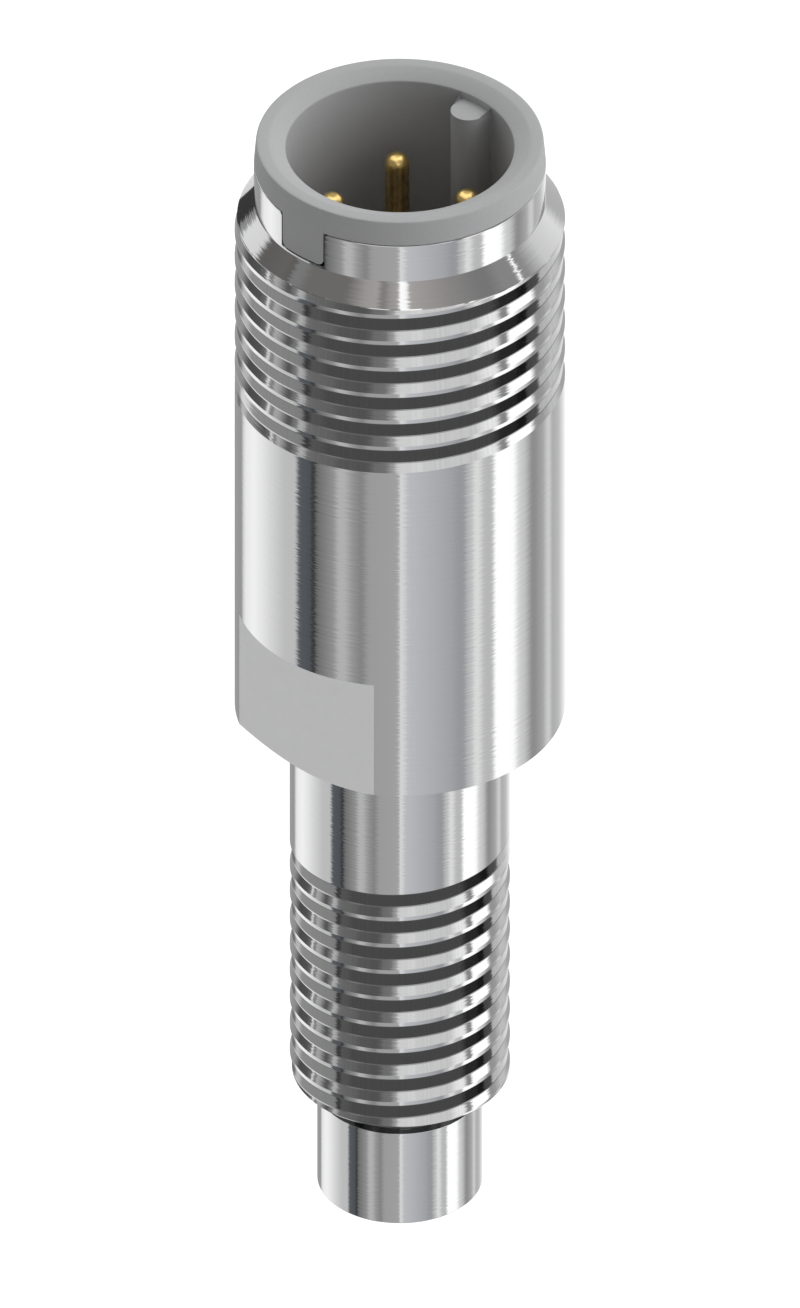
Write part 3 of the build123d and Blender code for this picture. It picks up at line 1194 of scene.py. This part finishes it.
def card_ring(cards, degrees_up, side_lean=0.0):
    """Colour of a ring of cards, each with its start, its end and its level at both.

    The cards lean: a facing a little above the middle of its ring sees them a little further
    round, which draws the ragged edges that a lathe's lines give to a reflection. The side lean
    is added in proportion to the turn away from the camera. A side is placed on the ramp at its
    degrees plus 90, over 180.
    """
    ramp = tree.nodes.new("ShaderNodeValToRGB")
    elements = ramp.color_ramp.elements
    elements.remove(elements[-1])
    for number, (start, end, first, last, *own_tint) in enumerate(cards):
        tint = np.array(own_tint[0] if own_tint else plain)
        for side, level in ((start, first), (end, last)):
            position = (side + 90) / 180
            if number == 0 and side == start:
                element = elements[0]
                element.position = position
            else:
                element = elements.new(position)
            element.color = (*(tint * level), 1)
    middle = math.sin(math.radians(degrees_up))
    from_ring = math_node(tree, "SUBTRACT", rise, middle)
    share = math_node(tree, "MULTIPLY_ADD", math_node(tree, "ABSOLUTE", azimuth), side_lean, card_lean)
    tree.links.new(math_node(tree, "MULTIPLY_ADD", from_ring, share, turn), ramp.inputs[0])
    return ramp.outputs[0]


def two_rings(left, right, degrees_up, left_lean=0.0, right_lean=0.0):
    """A ring whose left and right halves are card lists with side leans of their own."""
    left_ring = card_ring(left, degrees_up, left_lean)
    right_ring = card_ring(right, degrees_up, right_lean)
    return mix_colours(tree, on_right, left_ring, right_ring)


# %% Streaks and layers
def streaked(colour):
    """The colour with fine upright streaks, like the folds of a cloth behind the cards.

    It is the colour times a level that a noise of the azimuth moves a little about 1.
    """
    noise = tree.nodes.new("ShaderNodeTexNoise")
    noise.noise_dimensions = "1D"
    noise.inputs["Scale"].default_value = 60
    tree.links.new(azimuth, noise.inputs["W"])
    level = map_range(tree, noise.outputs["Fac"], 0.3, 0.7, 0.93, 1.07)
    streaks = vector_node("SCALE", colour, None)
    tree.links.new(level, streaks.inputs["Scale"])
    return streaks.outputs[0]


def blend_at(degrees, first, second):
    """The first colour below a rise of so many degrees, and the second above it.

    The share of the second eases from 0 to 1 over the two degrees round that rise.
    """
    share = tree.nodes.new("ShaderNodeMapRange")
    share.interpolation_type = "SMOOTHSTEP"
    tree.links.new(rise, share.inputs["Value"])
    share.inputs["From Min"].default_value = math.sin(math.radians(degrees - 1))
    share.inputs["From Max"].default_value = math.sin(math.radians(degrees + 1))
    return mix_colours(tree, share.outputs[0], first, second)


# %% Room
walls = two_rings(wall_cards_left, wall_cards_right, 0)
chamfer_ring = two_rings(chamfer_cards_left, chamfer_cards_right, 39.5, 0.6, 0.3)
# The chamfer's far left side faces away from the camera and mirrors one plain light card.
behind_left = math_node(tree, "LESS_THAN", azimuth, math.radians(-99.5))
# Each layer, with the degrees up at which it takes over from the one before it.
layers = [
    (-29, (0.15, 0.15, 0.15)),
    (-13, card_ring(step_cards, -5)),
    (-2.6, walls),
    (2.6, streaked(card_ring(root_cards, 5.6))),
    (8.5, streaked(two_rings(flank_cards_left, flank_cards_right, 12))),
    (26, mix_colours(tree, behind_left, chamfer_ring, (0.85, 0.85, 0.85))),
    (50, (1.5, 1.5, 1.5)),
    (70, (0.5, 0.5, 0.5)),
]
room = walls
for degrees_up, layer in layers:
    room = blend_at(degrees_up, room, layer)
print("layers of the room:", len(layers) + 1)

# %% [markdown]
# The world. The cards suit the mirror, but they would light the matt surfaces in patches. Area
# lamps could light those, but each would have to be hidden from the steel. So their light is in
# the world too, and Light Path tells the rays apart. Mirrored rays see the cards. Rays that
# light matt surfaces see three wide soft lamps, each brightest in its middle and fading by the
# cube of the cosine. The camera sees plain white, which keeps the background clean without
# putting more light on the sensor.

# %% Soft lamps
# Degrees to the right of the camera, degrees up, and level.
soft_lamps = [
    (-150, 41, 2.06),
    (93, 10, 2.90),
    (16, 5, 0.72),
]
lamp_falloff = 3.0


def way_to(azimuth_degrees, elevation_degrees):
    """Direction from degrees to the right of the camera and degrees above the horizon.

    The level way is the camera's front times the cosine of the side, plus its right times the
    sine. The direction is that times the cosine of the lift, plus the upright times the sine.
    """
    side = math.radians(azimuth_degrees)
    lift = math.radians(elevation_degrees)
    level_way = front_way * math.cos(side) + right_way * math.sin(side)
    return level_way * math.cos(lift) + up_way * math.sin(lift)


light = 0.0
for side, lift, level in soft_lamps:
    towards = math_node(tree, "MAXIMUM", part_along(direction, way_to(side, lift)), 0.0)
    lamp = math_node(tree, "MULTIPLY", math_node(tree, "POWER", towards, lamp_falloff), level)
    light = math_node(tree, "ADD", lamp, light)
print("soft lamps:", len(soft_lamps))


# %% World
def background(colour):
    """A background shader of a plain or a linked colour."""
    node = tree.nodes.new("ShaderNodeBackground")
    if isinstance(colour, tuple):
        node.inputs["Color"].default_value = (*colour, 1)
    else:
        tree.links.new(colour, node.inputs["Color"])
    return node.outputs[0]


def choose(share, first, second):
    """The first shader where the share is 0 and the second where it is 1."""
    node = tree.nodes.new("ShaderNodeMixShader")
    tree.links.new(share, node.inputs[0])
    tree.links.new(first, node.inputs[1])
    tree.links.new(second, node.inputs[2])
    return node.outputs[0]


light_path = tree.nodes.new("ShaderNodeLightPath")
mirrored_ray = math_node(
    tree, "MAXIMUM", light_path.outputs["Is Glossy Ray"], light_path.outputs["Is Transmission Ray"])
lighting = choose(mirrored_ray, background(light), background(room))
shown = choose(light_path.outputs["Is Camera Ray"], lighting, background((1.0, 1.0, 1.0)))
output = tree.nodes.new("ShaderNodeOutputWorld")
tree.links.new(shown, output.inputs[0])
print("world:", world.name, "with", len(tree.nodes), "nodes")

# %% [markdown]
# Floor and key light. A thing on a table is lit from below by the table. A lamp from below could
# do that too, but a pale floor follows the light from above by itself. It is wide and far below,
# so it takes no visible shadow. Only the camera sees it glow, so that it is as white as the
# room. A weak sun with a wide disc, from the right, adds the last soft shading to the insert.

# %% Floor
floor_height = -40.0
floor_half_size = 2000.0
floor_white = 0.62
floor_glow = 0.5
floor_corners = np.array([(-1, -1, 0), (1, -1, 0), (1, 1, 0), (-1, 1, 0)]) * floor_half_size
floor_corners[:, 2] = floor_height
floor_mesh = bpy.data.meshes.new("floor")
floor_mesh.from_pydata((floor_corners * MM).tolist(), [], [(0, 1, 2, 3)])
floor = bpy.data.objects.new("floor", floor_mesh)
bpy.context.scene.collection.objects.link(floor)
floor.visible_glossy = False
tree, shader = new_material("pale_floor", [floor])
shader.inputs["Base Color"].default_value = (floor_white, floor_white, floor_white, 1)
shader.inputs["Roughness"].default_value = 1
shader.inputs["Emission Color"].default_value = (1, 1, 1, 1)
floor_path = tree.nodes.new("ShaderNodeLightPath")
seen = math_node(tree, "MULTIPLY", floor_path.outputs["Is Camera Ray"], floor_glow)
tree.links.new(seen, shader.inputs["Emission Strength"])
print("floor", -floor_height, "mm below the seat")

# %% Key light
key_side = 95
key_lift = 40
key_width = 35
key_level = 0.08
key_data = bpy.data.lights.new("soft_key", "SUN")
key_data.energy = key_level * math.pi
key_data.angle = math.radians(key_width)
key = bpy.data.objects.new("soft_key", key_data)
key.rotation_mode = "QUATERNION"
key.rotation_quaternion = Vector(way_to(key_side, key_lift).tolist()).to_track_quat("Z", "Y")
key.visible_glossy = False
bpy.context.scene.collection.objects.link(key)
print("key light", key_side, "degrees to the right and", key_lift, "degrees up")

# %% [markdown]
# The view transform turns the light that falls on a pixel into its colour. A film-like one bends
# the bright tones and would grey the white background. Standard shows each level as it is, so
# the level of a card can be read from the picture.

# %% View transform
view_settings = bpy.context.scene.view_settings
view_settings.view_transform = "Standard"
print("view transform:", view_settings.view_transform)
